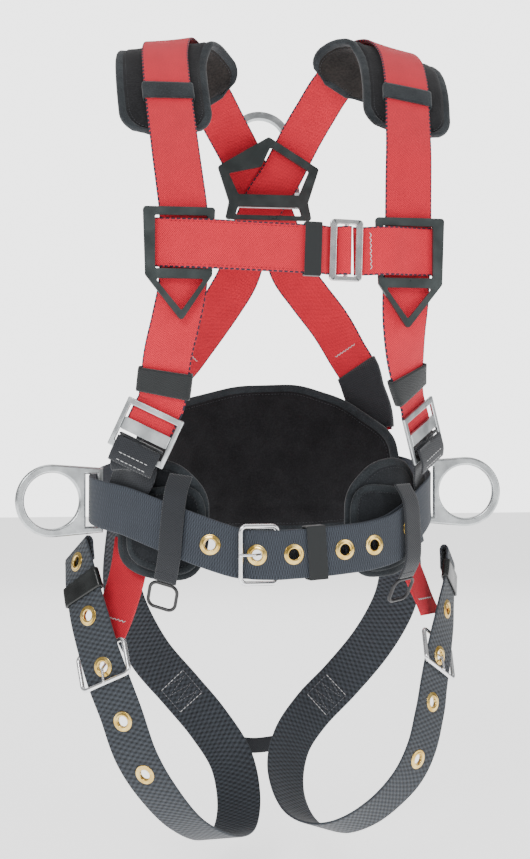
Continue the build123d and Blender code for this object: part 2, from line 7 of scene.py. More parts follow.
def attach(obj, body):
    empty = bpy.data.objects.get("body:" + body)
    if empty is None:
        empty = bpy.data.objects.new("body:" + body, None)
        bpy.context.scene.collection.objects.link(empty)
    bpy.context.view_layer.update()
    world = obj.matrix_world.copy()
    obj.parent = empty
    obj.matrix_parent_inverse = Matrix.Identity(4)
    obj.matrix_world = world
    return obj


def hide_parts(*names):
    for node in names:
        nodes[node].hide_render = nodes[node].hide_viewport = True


# Looks of the full-body safety harness. Lengths here are millimetres until a mesh is made.
MM = 0.001
WEB_WIDTH = 45.0
WEB_THICK = 2.2
WEB_STEP = 2.5  # length of a strap mesh's cells
HOLE_CLEARED = 7.0  # faces this near to an eyelet's centre are left out
MOULDED_GRAIN = 1.2
EDGE_LINE = 1.5  # how far in from a strap's edge its coloured threads reach
HIP_STRAP_WIDTH = 44
TAIL_WIDTH = 43.5
RED_TAB_WIDTH = 40
BELT_TAB_WIDTH = 22
LINK_WIDTH = 16
PAD_BAND_LENGTH = 20
TORSO_KEEPER_LENGTH = 24
LEG_KEEPER_LENGTH = 20
BACK_SLEEVE_LENGTH = 72
BACK_SLEEVE_FROM_END = 2.7
SLEEVE_WALL = 1.4
TORSO_KEEPER_GAP = 1.7
PAD_STEP = 4.0  # spacing of a pad's points round its edge
PAD_PRESSURE = 4.0
PAD_CORNER = 14.0  # radius of an upright pad's corners
PAD_SOFT = 16.0  # how far in from its edge an upright pad rises to full
PUFF_FRAMES = 20
GROOVE_WIDTH = 3.0
SHOULDER_PAD_DROP = 9.8
SHOULDER_PAD_OUTWARD = 3.0
SHOULDER_PAD_HALF = (40.0, 5.6)  # across and through
SHOULDER_SEAM = 27.5
# Stage and light, in metres.
FLOOR_Z = -0.352
FLOOR_REACH = 6
LIT = Vector((0, 0, 0.08))  # what the lights are aimed at
WORLD_AS_LIGHT = 0.42
WORLD_AS_SEEN = 3.4

# Webbing routes. Each row is a point on the centre line and the way its face looks.
SHOULDER = {
    "right": [
        (-110, -112, 148, -0.20, -0.98, 0.05), (-103, -116, 180, -0.10, -1, 0.05),
        (-97, -117.4, 212, 0, -1, 0), (-96, -117.4, 244, 0, -1, 0),
        (-96, -116.8, 276, 0, -1, 0.05), (-98.5, -109, 307, 0, -0.95, 0.2),
        (-101, -95, 339, 0, -0.9, 0.4), (-103, -72, 380, 0, -0.85, 0.5),
        (-104, -45, 420, 0, -0.75, 0.65), (-102, -15, 452, 0, -0.45, 0.9),
        (-94, 15, 468, -0.05, 0.05, 1), (-80, 42, 464, -0.1, 0.45, 0.9),
        (-62, 66, 448, -0.1, 0.75, 0.65), (-42, 87, 427, -0.05, 0.88, 0.45),
        (-25, 104.5, 404, 0, 0.95, 0.3), (-9, 115.3, 380, 0, 1, 0.15),
        (6, 120.8, 352, 0, 1, 0), (22, 121.4, 329, 0, 1, 0),
        (33, 121.4, 305, 0, 1, 0), (41, 120.4, 280, 0, 1, 0),
        (49, 117, 251, 0.05, 1, 0), (68, 113, 224, 0.2, 0.98, 0),
        (90, 105, 193, 0.4, 0.92, 0), (106, 95, 162, 0.55, 0.84, 0),
        (116, 86, 142, 0.6, 0.8, 0), (122, 82, 120, 0.7, 0.7, 0),
        (129, 75.5, 98, 0.75, 0.66, 0), (131, 71, 76, 0.77, 0.64, 0),
    ],
    "left": [
        (117.5, -103.5, 139, 0.42, -0.9, 0.05),
        (113, -113.6, 173, 0.2, -0.97, 0.05), (113, -117.2, 205, 0, -1, 0),
        (115, -117.2, 248, 0, -1, 0), (116, -115.4, 285, 0, -1, 0.05),
        (119, -106, 320, 0, -0.95, 0.25), (122, -95, 350, 0.05, -0.9, 0.4),
        (128, -70, 392, 0.1, -0.85, 0.5), (133, -44, 427, 0.1, -0.75, 0.65),
        (135, -14, 456, 0.15, -0.45, 0.9), (129, 14, 471, 0.15, 0.05, 1),
        (115, 40, 472, 0.15, 0.4, 0.9), (99, 62, 460, 0.1, 0.75, 0.65),
        (84, 82, 441, 0.05, 0.88, 0.45), (71, 96, 418, 0, 0.95, 0.3),
        (60, 105, 398, 0, 1, 0.2), (50, 111, 378, 0, 1, 0.15),
        (37, 116.2, 352, 0, 1, 0), (22, 118.6, 329, 0, 1, 0),
        (11, 118.6, 305, 0, 1, 0), (2, 116.8, 280, 0, 1, 0),
        (-9, 113.6, 245, 0, 1, 0), (-25, 111, 217, -0.2, 0.98, 0),
        (-46, 104, 186, -0.4, 0.92, 0), (-65, 95, 160, -0.5, 0.87, 0),
        (-78, 92.5, 142, -0.6, 0.8, 0), (-90, 91, 120, -0.65, 0.76, 0),
        (-102, 84, 96, -0.7, 0.72, 0), (-108, 77.5, 74, -0.75, 0.66, 0),
    ],
}
CHEST_LONG = [
    (-128, -120.5, 250, 0, -1, 0), (-114, -120.9, 250, -0.05, -1, 0),
    (-97, -125.4, 249.4, -0.2, -1, 0), (-76, -129.6, 248.6, -0.1, -1, 0),
    (-55, -130.2, 247.9, 0, -1, 0), (-25, -130.0, 247.0, 0, -1, 0),
    (5, -129.8, 246.1, 0, -1, 0), (22, -129.6, 245.6, 0, -1, 0),
    (30.5, -129.2, 245.3, 0.1, -1, 0), (37, -125.4, 245.1, 0.4, -1, 0),
    (43, -124.4, 245.0, -0.1, -1, 0), (47.6, -129, 244.8, -1, -0.8, 0),
    (51.5, -133.4, 244.7, -0.3, -1, 0), (57, -133.8, 244.6, 0, -1, 0),
]
CHEST_SHORT = [
    (61, -124.6, 244.8, 0, -1, 0), (72, -125.6, 245.0, 0, -1, 0),
    (84, -130.4, 245.3, 0.1, -1, 0), (98, -130.6, 245.6, 0, -1, 0),
    (114, -124.8, 245.9, 0.25, -1, 0), (128, -120.9, 246.2, 0.1, -1, 0),
    (144, -120.5, 246.4, 0, -1, 0),
]
BELT = [
    (-12, -127.6, -34, 0, -1, 0), (18, -127.6, -33.5, 0, -1, 0),
    (48, -125.6, -30.5, 0.1, -1, 0), (75, -118, -28, 0.25, -0.96, 0),
    (101, -105, -22, 0.5, -0.87, 0), (128, -84, -8, 0.65, -0.76, 0),
    (147, -64, 6, 0.8, -0.6, 0), (158, -43, 15, 0.95, -0.3, 0),
    (160.5, -20, 19, 1, 0, 0), (158, 8, 24, 0.95, 0.25, 0),
    (148, 40, 30, 0.88, 0.48, 0), (125, 78, 34, 0.72, 0.7, 0),
    (88, 107, 36, 0.5, 0.87, 0), (50, 123, 37, 0.25, 0.97, 0),
    (10, 128, 37, 0, 1, 0), (-30, 123, 36, -0.25, 0.97, 0),
    (-68, 107, 35, -0.5, 0.87, 0), (-105, 78, 32, -0.72, 0.7, 0),
    (-135, 44, 28, -0.82, 0.57, 0), (-160, 8, 22, -0.93, 0.3, 0),
    (-174, -20, 16, -1, 0.1, 0), (-175.5, -42, 12.5, -1, -0.1, 0),
    (-166, -62, 9, -0.85, -0.52, 0), (-146, -82, 4, -0.66, -0.75, 0),
    (-116, -106, -8, -0.5, -0.87, 0), (-80, -122, -22, -0.25, -0.97, 0),
    (-60, -128, -29, -0.1, -1, 0), (-46, -129.6, -33, 0, -1, 0),
    (-38, -131, -33.5, 0, -1, 0), (-31, -134.6, -34, -0.2, -1, 0),
    (-22, -138.4, -34, -0.2, -1, 0), (-12, -140.6, -34, 0, -1, 0),
    (0, -139, -33.5, 0, -1, 0), (24, -135.4, -32.5, 0, -1, 0),
    (48, -133, -30.5, 0.1, -1, 0), (78, -124.4, -27.5, 0.25, -0.96, 0),
    (105, -112, -21, 0.5, -0.87, 0), (133, -90, -6.5, 0.65, -0.76, 0),
]
LEG = {
    "right": [
        (-189, -25, -37, -0.85, -0.50, 0), (-186, -42, -60, -0.75, -0.65, 0),
        (-180, -60, -90, -0.65, -0.75, 0), (-172, -73, -122, -0.6, -0.8, 0),
        (-163, -82, -150, -0.55, -0.83, 0), (-152, -89, -180, -0.5, -0.85, -0.1),
        (-138, -94, -220, -0.45, -0.85, -0.3), (-118, -95, -255, -0.4, -0.75, -0.5),
        (-90, -84, -288, -0.3, -0.6, -0.75), (-60, -60, -309, -0.1, -0.45, -0.9),
        (-36, -22, -314, 0.1, -0.1, -1), (-24, 16, -294, 0.3, 0.4, -0.85),
        (-28, 41, -258, 0.3, 0.85, -0.4), (-50, 55, -222, 0.2, 0.97, -0.2),
        (-78, 60, -188, 0, 1, -0.1), (-109, 58, -151, -0.1, 1, 0),
        (-131, 50, -110, -0.3, 0.95, 0), (-141, 42, -72, -0.55, 0.83, 0),
        (-143, 35, -38, -0.7, 0.7, 0), (-143, 27.5, -6, -0.8, 0.58, 0),
        (-143, 26, 14, -0.8, 0.58, 0),
    ],
    "left": [
        (189, -12, -50, 0.9, -0.4, 0.1), (183, -26, -78, 0.85, -0.5, 0),
        (174, -42, -106, 0.75, -0.65, 0), (163, -58, -140, 0.65, -0.75, 0),
        (155, -69, -166, 0.6, -0.8, 0), (148, -78, -194, 0.55, -0.82, -0.1),
        (137, -86, -226, 0.45, -0.85, -0.3), (118, -91, -257, 0.3, -0.8, -0.5),
        (86, -92, -284, 0.15, -0.7, -0.7), (52, -80, -300, 0, -0.5, -0.87),
        (27, -46, -296, -0.3, -0.2, -0.93), (20, -6, -270, -0.5, 0.3, -0.8),
        (32, 28, -240, -0.4, 0.8, -0.4), (58, 50, -212, -0.2, 0.97, -0.2),
        (92, 60, -182, 0, 1, -0.1), (124, 57, -144, 0.15, 1, 0),
        (145, 49, -104, 0.35, 0.93, 0), (151, 42, -70, 0.55, 0.83, 0),
        (150, 34, -38, 0.75, 0.66, 0), (147.5, 27, -8, 0.85, 0.53, 0),
    ],
}
RED_TAB = {
    "right": [
        (-136, -44, -24, -0.6, -0.8, 0), (-141, -48, -56, -0.6, -0.8, 0),
        (-152, -56, -90, -0.6, -0.8, 0), (-163, -63, -114, -0.6, -0.8, 0),
    ],
    "left": [
        (134, -30, -22, 0.75, -0.65, 0), (140, -34, -52, 0.75, -0.65, 0),
        (150, -38, -80, 0.75, -0.65, 0), (158, -46, -102, 0.72, -0.7, 0),
    ],
}
BELT_TAB = {
    "right": [
        (-97, -106, 38, -0.4, -0.92, 0), (-103, -114.4, 22, -0.4, -0.92, 0),
        (-107, -116.6, -8, -0.42, -0.9, 0), (-109, -114, -36, -0.42, -0.9, 0),
        (-112, -106, -60, -0.42, -0.9, 0),
    ],
    "left": [
        (115, -97, 28, 0.57, -0.82, 0), (121, -105, 12, 0.57, -0.82, 0),
        (123, -106.4, -12, 0.57, -0.82, 0), (123, -106.8, -42, 0.57, -0.82, 0),
        (118.5, -98, -60, 0.57, -0.82, 0),
    ],
}
# In the torso adjuster's plane: distance up the frame, distance out, face up, face out.
STRAP_IN_ADJUSTER = [(-4, -4.4, 0, 1), (8, -4.2, 0, 1), (21, -4.6, 0, 1), (34, -3.6, 0, 1)]
HIP_STRAP_LOOP = [
    (-30, -5.5, 0, 1), (-20.5, -5.0, 0, 1), (-11, -3.6, 0.5, 1), (-9.7, 0, 1, 0),
    (-11, 3.6, 0.5, -1), (-20.5, 4.8, 0, -1), (-28, 4.4, 0, -1), (-36, 1.6, 0, -1),
]
HIP_STRAP_TAIL = {
    "right": [
        (-148, -71.5, 14, -0.72, -0.7, 0), (-143, -76.5, 27, -0.66, -0.75, 0),
        (-138, -86.5, 40, -0.5, -0.87, 0),
    ],
    "left": [
        (147, -48, 20, 0.9, -0.43, 0), (145, -53, 31, 0.88, -0.48, 0),
        (143, -62, 43, 0.8, -0.6, 0),
    ],
}
BELT_EYELETS = (25.3, 29.0, 32.1, 34.1, 35.1, 36.5)
LEG_EYELETS = {"right": (0.5, 2.15, 3.66, 5.25, 6.5), "left": (1.75, 3.05, 4.65, 6.3)}
LEG_KEEPERS = {"right": 1.35, "left": 0.7}
TORSO_KEEPERS = {"right": 3.4, "left": 3.5}
SHOULDER_PAD_SPAN = {"right": (10.65, 16.9), "left": (10.55, 16.7)}
PAD_BANDS = {"right": 11.5, "left": 11.35}
# Places of the sewn joins, counted in rows of each route.
BACK_TACKS = {"right": 26.9, "left": 28.0}
LEG_JOINS = {"right": 13.95, "left": 13.5}
HIP_STRAP_JOIN = 9.1
BELT_TAB_JOIN = 3.6
RED_TAB_JOIN = 2.3
CHEST_SHORT_JOIN = 1.45
SUB_PELVIC = [
    (-34, 66, -244, 0, 1, 0), (0, 68, -250, 0, 1, 0), (36, 66, -246, 0, 1, 0),
]
# Outlines seen from the front, as (x, z).
BACK_PAD = [
    (-124, 20), (-124, 74), (-82, 104), (-10, 122), (55, 124), (100, 108), (140, 74),
    (146, 20), (112, -20), (60, -26), (-50, -26), (-104, -16),
]
HIP_PAD = [
    (69, 20), (94, 46), (126, 50), (142, 30), (142, -44), (118, -56), (80, -56), (69, -30),
]
HIP_PANEL = [
    (72, 14), (84, 26), (136, 20), (136, -40), (112, -50), (84, -52), (72, -30),
]
BACK_SEAM = ((-120, -2), (140, -2))
BACK_PAD_CENTRE = (10.0, -30.0)
BACK_PAD_RADIUS = 147.0
HIP_PAD_RADIUS = 110.5
HIP_PANEL_RADIUS = 117.0
HIP_CENTRES = {"right": (-60.0, 15.0), "left": (50.0, 15.0)}
MIDDLE_X = -5.0

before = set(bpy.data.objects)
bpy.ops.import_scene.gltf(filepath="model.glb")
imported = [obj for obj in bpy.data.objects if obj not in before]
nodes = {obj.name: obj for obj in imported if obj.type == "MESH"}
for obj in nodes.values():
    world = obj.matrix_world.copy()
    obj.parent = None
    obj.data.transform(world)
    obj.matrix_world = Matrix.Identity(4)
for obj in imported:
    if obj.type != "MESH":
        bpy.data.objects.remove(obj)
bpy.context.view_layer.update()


# ---------------------------------------------------------------- materials
class Shades:
    """A node material in the making: helpers that add nodes and link them."""

    def __init__(self, name, roughness, **fixed):
        self.material = bpy.data.materials.new(name)
        self.material.use_nodes = True
        self.tree = self.material.node_tree
        self.shader = self.tree.nodes["Principled BSDF"]
        self.shader.inputs["Roughness"].default_value = roughness
        for key, value in fixed.items():
            self.shader.inputs[key.replace("_", " ")].default_value = value

    def put(self, socket, value):
        if isinstance(value, bpy.types.NodeSocket):
            self.tree.links.new(value, socket)
        else:
            socket.default_value = value

    def feed(self, name, value):
        self.put(self.shader.inputs[name], value)

    def math(self, operation, a, b=0.0, c=0.0):
        made = self.tree.nodes.new("ShaderNodeMath")
        made.operation = operation
        for socket, value in zip(made.inputs, (a, b, c)):
            self.put(socket, value)
        return made.outputs[0]

    def wave(self, value, period):
        """A sine with that period in the value's own unit."""
        return self.math("SINE", self.math("MULTIPLY", value, 2 * math.pi / period))

    def ramp(self, value, stops):
        made = self.tree.nodes.new("ShaderNodeValToRGB")
        self.put(made.inputs[0], value)
        elements = made.color_ramp.elements
        while len(elements) < len(stops):
            elements.new(0.5)
        for element, (place, colour) in zip(elements, stops):
            element.position = place
            element.color = (*colour, 1)
        return made.outputs[0]

    def mix(self, share, a, b, blend="MIX"):
        made = self.tree.nodes.new("ShaderNodeMix")
        made.data_type = "RGBA"
        made.blend_type = blend
        self.put(made.inputs[0], share)
        for socket, value in ((made.inputs[6], a), (made.inputs[7], b)):
            self.put(socket, value if isinstance(value, bpy.types.NodeSocket) else (*value, 1))
        return made.outputs[2]

    def cloud(self, where, scale, detail=3.0):
        made = self.tree.nodes.new("ShaderNodeTexNoise")
        self.put(made.inputs["Vector"], where)
        made.inputs["Scale"].default_value = scale
        made.inputs["Detail"].default_value = detail
        return made.outputs[0]

    def cells(self, where, scale):
        made = self.tree.nodes.new("ShaderNodeTexVoronoi")
        self.put(made.inputs["Vector"], where)
        made.inputs["Scale"].default_value = scale
        return made.outputs[0]

    def place(self, kind="Object"):
        """Object is the row frame in metres; UV is metres along and across a strap."""
        return self.tree.nodes.new("ShaderNodeTexCoord").outputs[kind]

    def split(self, vector):
        made = self.tree.nodes.new("ShaderNodeSeparateXYZ")
        self.put(made.inputs[0], vector)
        return made.outputs

    def bump(self, height, strength, distance):
        made = self.tree.nodes.new("ShaderNodeBump")
        made.inputs["Strength"].default_value = strength
        made.inputs["Distance"].default_value = distance * MM
        self.put(made.inputs["Height"], height)
        self.feed("Normal", made.outputs[0])


def woven(name, low, high, cell, edge=None, strength=0.6, sheen=0.3, depth=0.35):
    """Webbing: staggered weave cells (length, breadth in mm), mottling and edge threads."""
    look = Shades(name, 0.72, Sheen_Weight=sheen, Sheen_Roughness=0.5, Specular_IOR_Level=0.3)
    where = look.place("UV")
    along, across = look.split(where)[:2]
    length, breadth = cell
    cells = look.math("MULTIPLY", look.wave(along, length * MM), look.wave(across, breadth * MM))
    height = look.math("MULTIPLY_ADD", cells, 0.5, 0.5)
    mottle = look.cloud(where, 900.0, 2.0)
    patches = look.cloud(where, 55.0, 3.0)
    tone = look.math("ADD", look.math("MULTIPLY", height, 0.45), look.math("MULTIPLY", mottle, 0.55))
    colour = look.ramp(tone, [(0.25, low), (0.72, high)])
    shade = look.ramp(patches, [(0.3, (0.82, 0.82, 0.82)), (0.7, (1, 1, 1))])
    colour = look.mix(0.6, colour, shade, "MULTIPLY")
    if edge:
        out = look.math("ABSOLUTE", across)
        dashes = look.math("GREATER_THAN", look.wave(along, 5.0 * MM), -0.55)
        line = look.math("GREATER_THAN", out, (WEB_WIDTH / 2 - EDGE_LINE) * MM)
        colour = look.mix(look.math("MULTIPLY", line, dashes), colour, edge)
    look.feed("Base Color", colour)
    look.feed("Roughness", look.math("MULTIPLY_ADD", mottle, 0.25, 0.58))
    look.bump(look.math("ADD", height, look.math("MULTIPLY", mottle, 0.5)), strength, depth)
    return look.material


def cloth(name, low, high, grain, strength, sheen):
    """Pad covering, lining or tape: a fine knit, rubbed paler in patches."""
    look = Shades(name, 0.85, Sheen_Weight=sheen, Sheen_Roughness=0.45, Specular_IOR_Level=0.2)
    where = look.place()
    knit = look.cells(where, 1000.0 / grain)
    rubbed = look.cloud(where, 38.0, 5.0)
    tone = look.math("ADD", look.math("MULTIPLY", rubbed, 0.75), look.math("MULTIPLY", knit, 0.4))
    look.feed("Base Color", look.ramp(tone, [(0.35, low), (0.8, high)]))
    look.bump(knit, strength, 0.4)
    return look.material


def moulded(name, low, high, roughness):
    """Plastic with faint scuffs and a fine moulded grain."""
    look = Shades(name, roughness, Specular_IOR_Level=0.5)
    where = look.place()
    scuffs = look.cloud(where, 60.0, 6.0)
    look.feed("Base Color", look.ramp(scuffs, [(0.4, low), (0.75, high)]))
    look.feed("Roughness", look.math("MULTIPLY_ADD", scuffs, 0.3, roughness - 0.15))
    look.bump(look.cloud(where, 1000.0 / MOULDED_GRAIN, 2.0), 0.25, 0.15)
    return look.material


def metal(name, low, high, roughness, grain=60.0, strength=0.15):
    """Metal, worn in patches, with a slightly uneven surface."""
    look = Shades(name, roughness, Metallic=1.0)
    where = look.place()
    worn = look.cloud(where, grain, 6.0)
    look.feed("Base Color", look.ramp(worn, [(0.35, low), (0.65, high)]))
    look.feed("Roughness", look.math("MULTIPLY_ADD", worn, 0.22, roughness - 0.11))
    look.bump(look.cloud(where, 420.0, 4.0), strength, 0.12)
    return look.material


NAVY = (0.012, 0.014, 0.03)
RED = woven("red_webbing", (0.30, 0.002, 0.009), (0.86, 0.016, 0.044), (1.8, 2.3),
            edge=NAVY, sheen=0.15)
BELT_GREY = woven("belt_webbing", (0.010, 0.013, 0.018), (0.048, 0.058, 0.076), (2.3, 9.0),
                  strength=0.7, sheen=0.15)
LEG_GREY = woven("leg_webbing", (0.004, 0.005, 0.007), (0.050, 0.060, 0.074), (5.0, 9.0),
                 strength=1.0, sheen=0.15, depth=0.6)
BLACK_WEB = woven("black_webbing", (0.004, 0.005, 0.007), (0.020, 0.023, 0.029), (2.2, 3.0),
                  strength=0.7)
ELASTIC = woven("black_elastic", (0.005, 0.006, 0.007), (0.018, 0.021, 0.022), (1.6, 4.0),
                strength=0.8)
PAD_CLOTH = cloth("pad_cloth", (0.004, 0.004, 0.005), (0.015, 0.015, 0.017), 1.7, 0.5, 0.15)
PANEL_CLOTH = cloth("panel_cloth", (0.006, 0.007, 0.009), (0.022, 0.025, 0.029), 1.3, 0.5, 0.2)
LINING = cloth("pad_lining", (0.006, 0.005, 0.005), (0.024, 0.020, 0.018), 2.4, 0.7, 0.15)
BINDING = cloth("binding_tape", (0.009, 0.011, 0.013), (0.034, 0.040, 0.045), 1.1, 0.5, 0.2)
PLASTIC = moulded("black_plastic", (0.020, 0.026, 0.026), (0.034, 0.043, 0.043), 0.33)
GLOSS = moulded("gloss_keeper", (0.004, 0.005, 0.005), (0.014, 0.016, 0.016), 0.26)
WIRE_BLACK = moulded("black_wire", (0.010, 0.010, 0.011), (0.03, 0.03, 0.032), 0.35)
ZINC = metal("satin_zinc", (0.42, 0.44, 0.45), (0.68, 0.71, 0.72), 0.32)
CHROME = metal("bright_steel", (0.82, 0.83, 0.85), (0.97, 0.97, 0.98), 0.20, 90.0, 0.06)
BRASS = metal("brass", (0.58, 0.36, 0.07), (0.92, 0.68, 0.25), 0.22, 120.0, 0.08)
WHITE_THREAD = cloth("white_thread", (0.45, 0.45, 0.46), (0.82, 0.82, 0.82), 0.5, 0.2, 0.1)
GREY_THREAD = cloth("grey_thread", (0.10, 0.10, 0.11), (0.24, 0.24, 0.25), 0.5, 0.2, 0.1)
DARK_THREAD = cloth("dark_thread", (0.02, 0.022, 0.026), (0.06, 0.064, 0.07), 0.5, 0.2, 0.1)
RED_THREAD = cloth("red_thread", (0.20, 0.006, 0.012), (0.42, 0.02, 0.035), 0.5, 0.2, 0.1)


# ---------------------------------------------------------------- strap geometry
def curve_row(rows, place):
    """A row between the hand-set ones, on a smooth curve through them."""
    last = len(rows) - 1
    first = min(max(int(place), 0), last - 1)
    u = place - first
    picked = [rows[min(max(first + step, 0), last)] for step in (-1, 0, 1, 2)]
    return [
        0.5 * (2 * b + (c - a) * u + (2 * a - 5 * b + 4 * c - d) * u**2
               + (3 * b - a - 3 * c + d) * u**3)
        for a, b, c, d in zip(*picked)
    ]


def station(rows, place):
    """(point, along, across, face) of a strap there."""
    last = len(rows) - 1
    row = curve_row(rows, place)
    ahead = Vector(curve_row(rows, min(place + 0.02, last))[:3])
    behind = Vector(curve_row(rows, max(place - 0.02, 0))[:3])
    along = (ahead - behind).normalized()
    face = Vector(row[3:])
    face = (face - along * face.dot(along)).normalized()
    return Vector(row[:3]), along, face.cross(along), face


def even_places(rows, first, last, step):
    """(place, distance) pairs spaced evenly along the strap."""
    fine = 400
    places = [first + (last - first) * i / fine for i in range(fine + 1)]
    points = [Vector(curve_row(rows, place)[:3]) for place in places]
    run = [0.0]
    for a, b in zip(points, points[1:]):
        run.append(run[-1] + (b - a).length)
    count = max(2, round(run[-1] / step))
    picked, k = [], 0
    for i in range(count + 1):
        target = run[-1] * i / count
        while k < fine - 1 and run[k + 1] < target:
            k += 1
        share = (target - run[k]) / max(run[k + 1] - run[k], 1e-9)
        picked.append((places[k] + (places[k + 1] - places[k]) * share, target))
    return picked


def on_strap(rows, place, away, across, lift):
    """A point and its face, away mm further along than place."""
    a, b = (Vector(curve_row(rows, place + d)[:3]) for d in (-0.05, 0.05))
    shifted = place + away * 0.1 / (b - a).length
    point, _, side, face = station(rows, shifted)
    return point + side * across + face * lift, face


def piece(name, verts, faces, material, stands_for=(), slot=None, uvs=None):
    """A mesh given in millimetres that rides the harness body."""
    mesh = bpy.data.meshes.new(name)
    mesh.from_pydata([Vector(v) * MM for v in verts], [], faces)
    if uvs:
        layer = mesh.uv_layers.new(name="UVMap")
        for loop in mesh.loops:
            layer.data[loop.index].uv = uvs[loop.vertex_index]
    mesh.materials.append(material)
    mesh.polygons.foreach_set("use_smooth", [True] * len(mesh.polygons))
    mesh.validate()
    made = bpy.data.objects.new(name, mesh)
    bpy.context.scene.collection.objects.link(made)
    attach(made, "harness")
    if stands_for:
        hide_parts(*stands_for)
    return made


def web_section(width):
    """Half a section from edge to edge: (across, share of half the thickness)."""
    half = width / 2
    inner = half - 1.6
    count = max(2, round(2 * inner / WEB_STEP))
    middle = [(inner - 2 * inner * i / count, 1.0) for i in range(count + 1)]
    edge = [(half, 0.0), (half - 0.25, 0.6), (half - 0.8, 0.92)]
    return edge + middle + [(-across, out) for across, out in reversed(edge)]


def strip(name, rows, material, width=WEB_WIDTH, holes=(), ripple=0.0, **how):
    """Flat webbing with soft edges, which ripple waves."""
    profile = web_section(width)
    loop = profile + [(across, -out) for across, out in profile[-2:0:-1]]
    size = len(loop)
    verts, uvs, faces = [], [], []
    places = even_places(rows, 0, len(rows) - 1, WEB_STEP)
    for place, run in places:
        point, _, side, face = station(rows, place)
        for across, out in loop:
            edge = (2 * across / width) ** 2
            wave = ripple * edge * noise.noise(Vector((run / 38, 3 * math.copysign(1, across), 7)))
            verts.append(point + side * across + face * (out * WEB_THICK / 2 + wave))
            uvs.append((run * MM, across * MM))
    for i in range(len(places) - 1):
        for k in range(size):
            quad = (i * size + k, i * size + (k + 1) % size,
                    (i + 1) * size + (k + 1) % size, (i + 1) * size + k)
            centre = sum((verts[n] for n in quad), Vector()) / 4
            if all((centre - hole).length > HOLE_CLEARED for hole in holes):
                faces.append(quad)
    last_ring = (len(places) - 1) * size
    half = len(profile)
    for start in (0, last_ring):
        for k in range(half - 1):
            low, high = (size - k) % size, size - k - 1
            quad = [start + k, start + k + 1, start + high, start + low]
            quad = [n for i, n in enumerate(quad) if n not in quad[:i]]
            if len(quad) > 2:
                faces.append(quad if start else quad[::-1])
    return piece(name, verts, faces, material, uvs=uvs, **how)


def rounded(half_across, half_out, radius, cells):
    """A rounded rectangle's points, evenly cut along its long sides."""
    points = []
    for cx, cy, turn in ((1, 1, 0), (-1, 1, 90), (-1, -1, 180), (1, -1, 270)):
        for step in range(4):
            angle = math.radians(turn + 30 * step)
            points.append((cx * (half_across - radius) + radius * math.cos(angle),
                           cy * (half_out - radius) + radius * math.sin(angle)))
        if turn in (0, 180):
            for i in range(1, cells):
                share = 1 - 2 * i / cells
                points.append((share * cx * (half_across - radius), cy * half_out))
    return points


def sleeve(name, rows, place, length, material, gap=0.9, bulge=0.5, **how):
    """A band round a strap, closed, with rounded corners and a soft swell."""
    width, thick, wall = WEB_WIDTH, WEB_THICK, SLEEVE_WALL
    a, b = (Vector(curve_row(rows, place + d)[:3]) for d in (-0.1, 0.1))
    half = length / 2 * 0.2 / (b - a).length
    inner = rounded(width / 2 + gap, thick / 2 + gap, min(thick / 2 + gap, 1.4) * 0.95, 12)
    outer = rounded(width / 2 + gap + wall, thick / 2 + gap + wall, 2.4, 12)
    steps = 10
    size = len(outer)
    verts, uvs, faces = [], [], []
    for i in range(steps + 1):
        share = 2 * i / steps - 1
        point, _, side, face = station(rows, place + half * share)
        swell = bulge * (1 - share**4)
        rim = 0.35 * share**8
        for ring, extra in ((outer, 1), (inner, 0)):
            for across, out in ring:
                grow = (swell - rim) * extra
                lift = out + math.copysign(grow, out) * (1 - (2 * across / width / 1.1) ** 4)
                inset = math.copysign(rim, across) * extra
                verts.append(point + side * (across - inset) + face * lift)
                uvs.append((share * length / 2 * MM, across * MM))
    for i in range(steps):
        for k in range(size):
            a0, a1 = 2 * i * size + k, 2 * i * size + (k + 1) % size
            b0, b1 = a0 + 2 * size, a1 + 2 * size
            faces.append((a0, a1, b1, b0))
            faces.append((a0 + size, b0 + size, b1 + size, a1 + size))
    for start, flip in ((0, False), (2 * steps * size, True)):
        for k in range(size):
            n = (k + 1) % size
            quad = (start + k, start + size + k, start + size + n, start + n)
            faces.append(quad[::-1] if flip else quad)
    return piece(name, verts, faces, material, uvs=uvs, **how)


# ---------------------------------------------------------------- stitching
threads = {"white": [], "grey": [], "dark": [], "red": []}


def stitch_run(colour, path, dash=2.6, gap=0.9, radius=0.42):
    """Separate raised stitches along a path of (point, face) pairs."""
    run = [0.0]
    for (a, _), (b, _) in zip(path, path[1:]):
        run.append(run[-1] + (b - a).length)

    def at(distance):
        k = 0
        while k < len(run) - 2 and run[k + 1] < distance:
            k += 1
        share = (distance - run[k]) / max(run[k + 1] - run[k], 1e-9)
        (a, fa), (b, fb) = path[k], path[k + 1]
        return a + (b - a) * share, (fa + (fb - fa) * share).normalized()

    start = 0.0
    while start + dash * 0.6 < run[-1]:
        end = min(start + dash, run[-1])
        threads[colour].append((at(start), at((start + end) / 2), at(end), radius))
        start = end + gap


def strap_line(colour, rows, place, corners, lift=WEB_THICK / 2 + 0.1, **look):
    """Stitches between corners given as (away, across) from a place on a strap."""
    for (x0, y0), (x1, y1) in zip(corners, corners[1:]):
        count = max(2, int(math.hypot(x1 - x0, y1 - y0) / 4))
        path = [
            on_strap(rows, place, x0 + (x1 - x0) * i / count, y0 + (y1 - y0) * i / count, lift)
            for i in range(count + 1)
        ]
        stitch_run(colour, path, **look)


def bar_tack(colour, rows, place, away, half, lift=WEB_THICK / 2 + 0.1):
    """A dense zigzag across a strap."""
    count = 14
    corners = [
        (away + (0.9 if i % 2 else -0.9), half - 2 * half * i / count) for i in range(count + 1)
    ]
    strap_line(colour, rows, place, corners, lift, dash=3.2, gap=0.0, radius=0.5)


